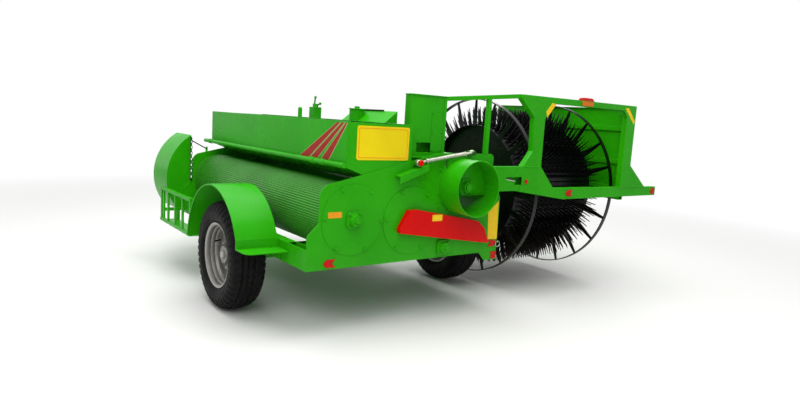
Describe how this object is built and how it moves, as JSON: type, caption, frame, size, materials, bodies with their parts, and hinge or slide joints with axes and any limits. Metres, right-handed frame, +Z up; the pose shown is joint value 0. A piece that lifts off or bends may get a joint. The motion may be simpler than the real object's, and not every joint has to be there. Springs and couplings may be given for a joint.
{
  "type": "pumpkin seed harvester",
  "caption": "Towed pumpkin-seed harvester: spiked pick-up drum in a side frame, screen cylinder and crusher under an open seed tank, drawbar, drive input and parking jack.",
  "frame": {"origin": "centre of the machine's bounding box, on the ground", "axes": "+X forward along the drawbar, +Y to the machine's left, +Z up"},
  "size_m": [4.757, 4.588, 1.96],
  "materials": {
    "green_paint": "gloss",
    "green_screen": "satin",
    "red_paint": "gloss",
    "black_paint": "satin",
    "silver_paint": "satin",
    "zinc_steel": "satin",
    "forged_steel": "matte",
    "bright_steel": "satin",
    "tyre_rubber": "matte",
    "red_lens": "gloss",
    "amber_lens": "gloss",
    "yellow_paint": "gloss"
  },
  "bodies": {
    "chassis": {"axle_beam": "green_paint", "beacon": "amber_lens", "belt_guard": "red_paint", "conveyor_head": "green_paint", "crusher_housing": "green_paint", "discharge_tube": "green_paint", "drawbar": "green_paint", "drum_arm": "green_paint", "drum_bearings": "green_paint", "drum_covers": "green_paint", "elevator_column": "green_paint", "feed_trough": "green_paint", "filler_pipe": "green_paint", "front_beam": "green_paint", "front_plate": "green_paint", "gearbox": "green_paint", "header_beam": "green_paint", "header_post": "green_paint", "header_side_post": "green_paint", "header_top_bar": "green_paint", "header_top_beam": "green_paint", "hitch_eye": "forged_steel", "hood": "green_paint", "jack_body": "green_paint", "main_frame": "green_paint", "mudguard": "green_paint", "plate_bracket": "green_paint", "pto_stub": "bright_steel", "rear_bearings": "green_paint", "rear_plate": "green_paint", "reflectors": "red_lens", "right_side_sheet": "green_paint", "side_basket": "green_paint", "side_beam": "green_paint", "side_panel": "green_paint", "sieve_screen": "green_screen", "sign_plate": "yellow_paint", "tank_ends": "green_paint", "tank_floor": "green_paint", "tank_left": "green_paint", "tank_pipe": "green_paint", "tank_right": "green_paint", "top_deck": "green_paint", "top_link": "zinc_steel", "tube_end_plate": "green_paint", "valve_block": "green_paint"},
    "wheel_left": {"tyre_left": "tyre_rubber", "rim_left": "silver_paint"},
    "wheel_right": {"tyre_right": "tyre_rubber", "rim_right": "silver_paint"},
    "drum": {"drum_body": "black_paint", "drum_shaft": "black_paint", "drum_spikes": "black_paint", "drum_hoops": "black_paint"},
    "feed_rotor": {"feed_auger": "green_paint"},
    "jack": {"jack_leg": "zinc_steel"}
  },
  "joints": [
    {"name": "wheel_left_spin", "type": "hinge", "parent": "chassis", "child": "wheel_left", "pos_m": [-1.1285, 2.119, 0.4475], "axis": [0, 1, 0], "continuous": true},
    {"name": "wheel_right_spin", "type": "hinge", "parent": "chassis", "child": "wheel_right", "pos_m": [-1.1285, -0.207, 0.4475], "axis": [0, 1, 0], "continuous": true},
    {"name": "drum_spin", "type": "hinge", "parent": "chassis", "child": "drum", "pos_m": [-1.2445, -1.017, 0.997], "axis": [0, 1, 0], "continuous": true},
    {"name": "feed_rotor_spin", "type": "hinge", "parent": "chassis", "child": "feed_rotor", "pos_m": [-1.1285, 0.546, 1.115], "axis": [1, 0, 0], "continuous": true},
    {"name": "jack_lift", "type": "slide", "parent": "chassis", "child": "jack", "axis": [0, 0, 1], "range_m": [0, 0.25]}
  ]
}
